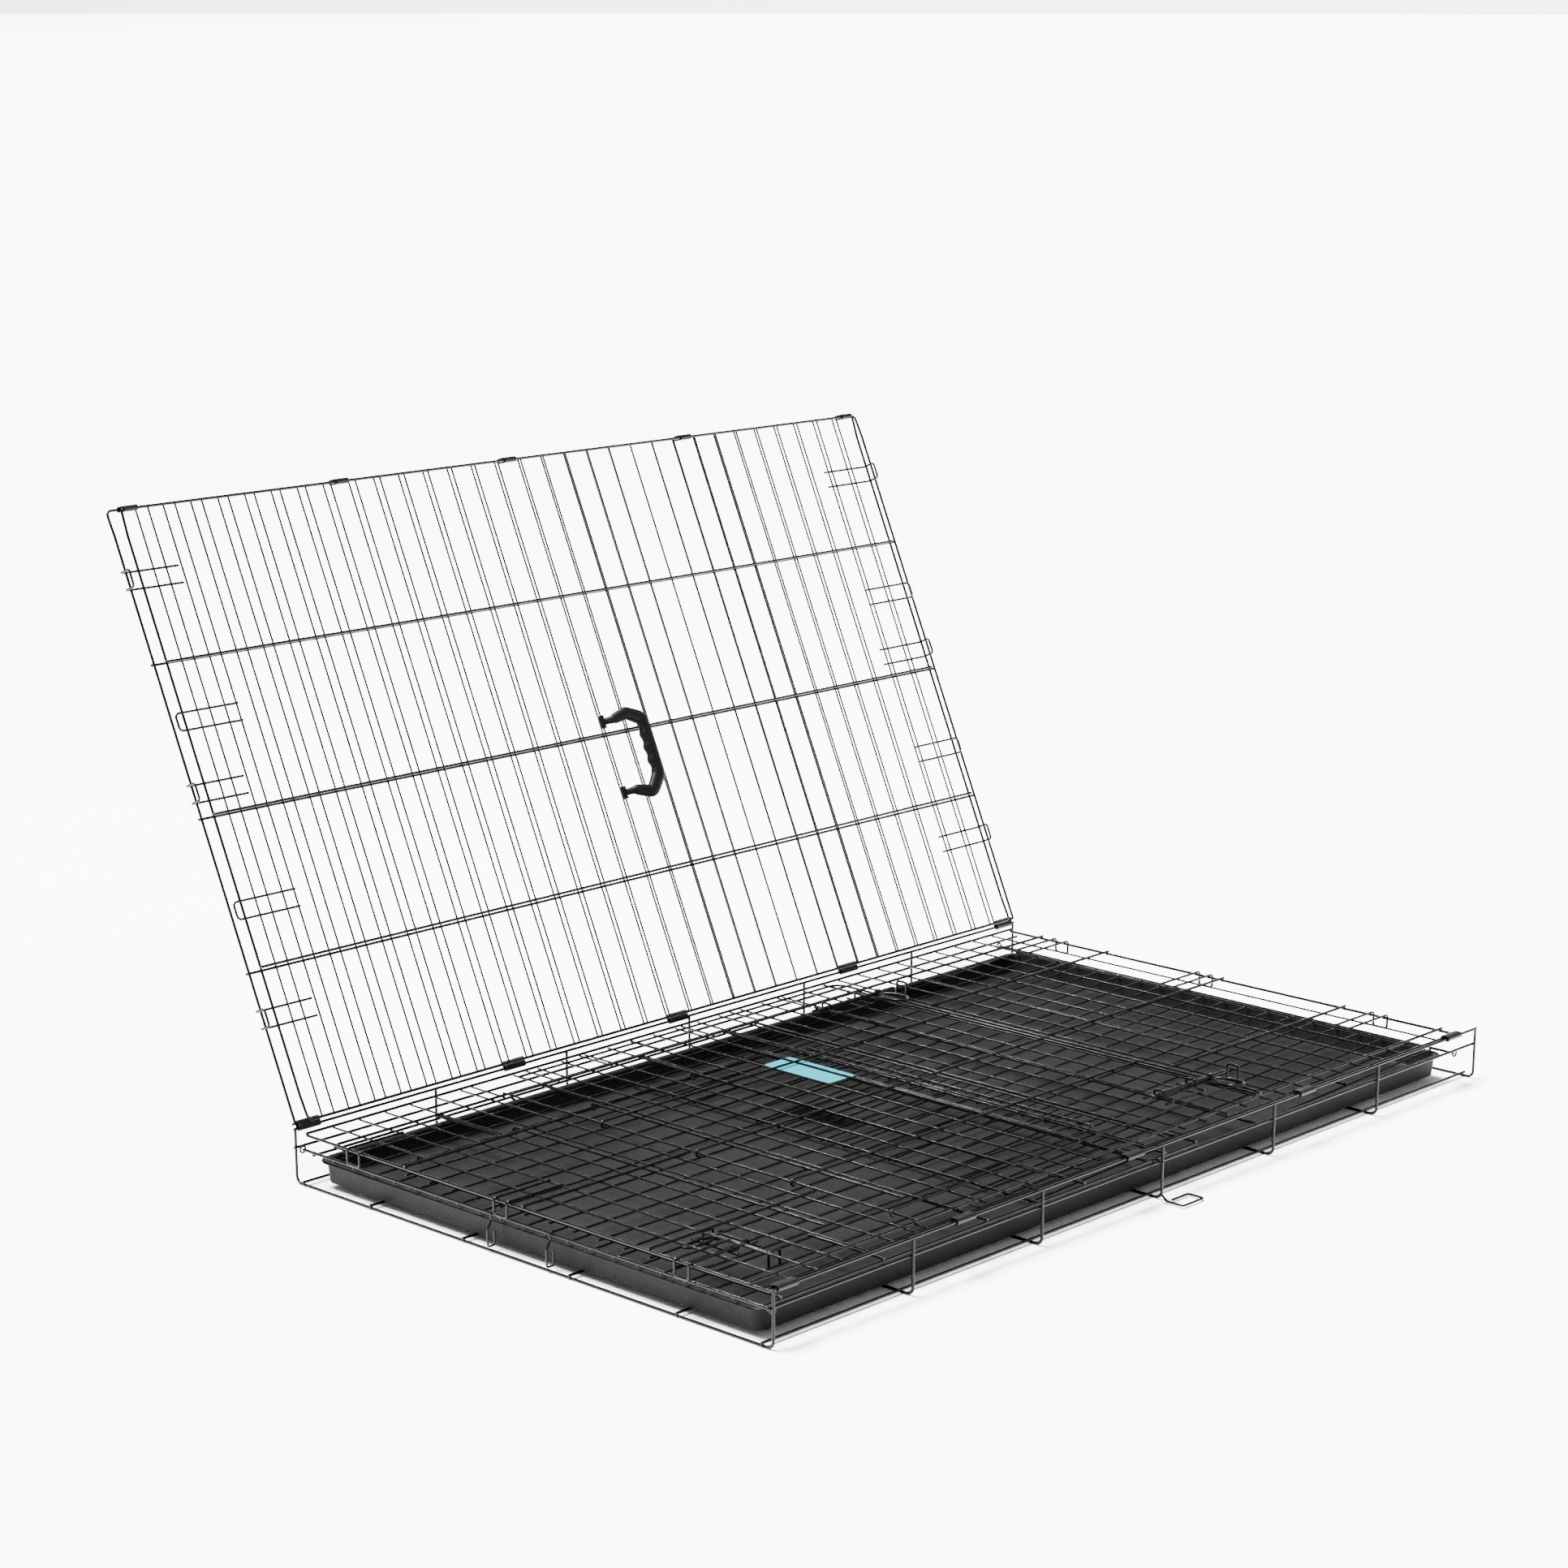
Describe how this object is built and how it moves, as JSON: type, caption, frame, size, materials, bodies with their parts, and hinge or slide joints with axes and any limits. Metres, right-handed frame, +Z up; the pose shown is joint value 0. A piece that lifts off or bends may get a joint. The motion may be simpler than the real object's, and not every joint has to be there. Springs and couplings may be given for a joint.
{
  "type": "wire dog crate",
  "caption": "Large two-door folding wire dog crate, half folded: walls flat in the base, lid and top leaning back, plastic tray inside.",
  "frame": {"origin": "centre of the part's outline on the floor, at rest", "axes": "+Z up, +X along the long side towards the right end, +Y towards the lid's hinge"},
  "size_m": [1.2304, 1.0553, 0.7168],
  "materials": {
    "wire_coat": "semi-gloss",
    "sleeve_coat": "semi-gloss",
    "tray_plastic": "fine texture",
    "grip_plastic": "matte",
    "card": "satin"
  },
  "bodies": {
    "base": {"base_floor_wires": "wire_coat", "base_end_frames": "wire_coat", "base_cross_frames": "wire_coat", "base_top_rails": "wire_coat", "base_lower_rails": "wire_coat"},
    "tray": {"tray": "tray_plastic"},
    "rear_panel": {"rear_panel": "wire_coat", "rear_panel_hooks": "wire_coat", "rear_hinge_clips": "sleeve_coat", "top_hinge_clips": "sleeve_coat"},
    "top_panel": {"top_panel": "wire_coat", "top_panel_loops": "wire_coat"},
    "handle": {"handle_grip": "grip_plastic"},
    "front_panel": {"front_panel": "wire_coat", "front_panel_hooks": "wire_coat", "front_hinge_clips": "sleeve_coat", "side_bolt_keepers": "wire_coat"},
    "side_door": {"side_door": "wire_coat", "side_bolt_guides": "wire_coat", "info_card": "card"},
    "lower_side_bolt": {"lower_side_bolt": "wire_coat"},
    "upper_side_bolt": {"upper_side_bolt": "wire_coat"},
    "left_end": {"left_end_panel": "wire_coat", "end_bolt_keeper": "wire_coat"},
    "end_door": {"end_door": "wire_coat", "end_bolt_guides": "wire_coat"},
    "end_bolt": {"end_slide_bolt": "wire_coat"},
    "front_tray_stop": {"front_tray_stop": "wire_coat"},
    "rear_tray_stop": {"rear_tray_stop": "wire_coat"},
    "right_end": {"right_end_panel": "wire_coat"},
    "closing_catch": {"closing_catch": "wire_coat"}
  },
  "joints": [
    {"name": "lid_hinge", "type": "hinge", "parent": "base", "child": "rear_panel", "pos_m": [0, 0.234, 0.0627], "axis": [-1, 0, 0], "range_deg": [-68, 0]},
    {"name": "top_panel_hinge", "type": "hinge", "parent": "rear_panel", "child": "top_panel", "pos_m": [0, 0.51588, 0.71333], "axis": [-1, 0, 0], "range_deg": [0, 90]},
    {"name": "handle_hinge", "type": "hinge", "parent": "top_panel", "child": "handle", "pos_m": [0, 0.36148, 0.36391], "axis": [0, -0.4099, -0.9121], "range_deg": [0, 140]},
    {"name": "front_panel_hinge", "type": "hinge", "parent": "base", "child": "front_panel", "pos_m": [0, -0.49, 0.0627], "axis": [1, 0, 0], "range_deg": [0, 90]},
    {"name": "side_door_hinge", "type": "hinge", "parent": "front_panel", "child": "side_door", "pos_m": [-0.3695, -0.14, 0.0651], "axis": [0, -1, 0], "range_deg": [0, 165]},
    {"name": "lower_side_bolt_slide", "type": "slide", "parent": "side_door", "child": "lower_side_bolt", "axis": [1, 0, 0], "range_m": [0, 0.026]},
    {"name": "upper_side_bolt_slide", "type": "slide", "parent": "side_door", "child": "upper_side_bolt", "axis": [1, 0, 0], "range_m": [0, 0.026]},
    {"name": "tray_slide", "type": "slide", "parent": "base", "child": "tray", "axis": [1, 0, 0], "range_m": [0, 0.44]},
    {"name": "left_end_hinge", "type": "hinge", "parent": "base", "child": "left_end", "pos_m": [-0.6045, -0.128, 0.0395], "axis": [0, -1, 0], "range_deg": [0, 0.3]},
    {"name": "end_door_hinge", "type": "hinge", "parent": "left_end", "child": "end_door", "pos_m": [-0.3095, 0.1026, 0.0419], "axis": [-1, 0, 0], "range_deg": [0, 0.18]},
    {"name": "end_bolt_slide", "type": "slide", "parent": "end_door", "child": "end_bolt", "axis": [0, -1, 0], "range_m": [0, 0.024]},
    {"name": "front_tray_stop_hinge", "type": "hinge", "parent": "left_end", "child": "front_tray_stop", "pos_m": [-0.6045, -0.173, 0.0395], "axis": [0, 1, 0], "range_deg": [0, 85]},
    {"name": "rear_tray_stop_hinge", "type": "hinge", "parent": "left_end", "child": "rear_tray_stop", "pos_m": [-0.6045, -0.083, 0.0395], "axis": [0, 1, 0], "range_deg": [0, 85]},
    {"name": "right_end_hinge", "type": "hinge", "parent": "base", "child": "right_end", "pos_m": [0.5755, -0.128, 0.038], "axis": [0, 1, 0], "range_deg": [0, 1.1]},
    {"name": "closing_catch_hinge", "type": "hinge", "parent": "base", "child": "closing_catch", "pos_m": [0, -0.4868, 0.043], "axis": [-1, 0, 0], "range_deg": [0, 95]}
  ]
}
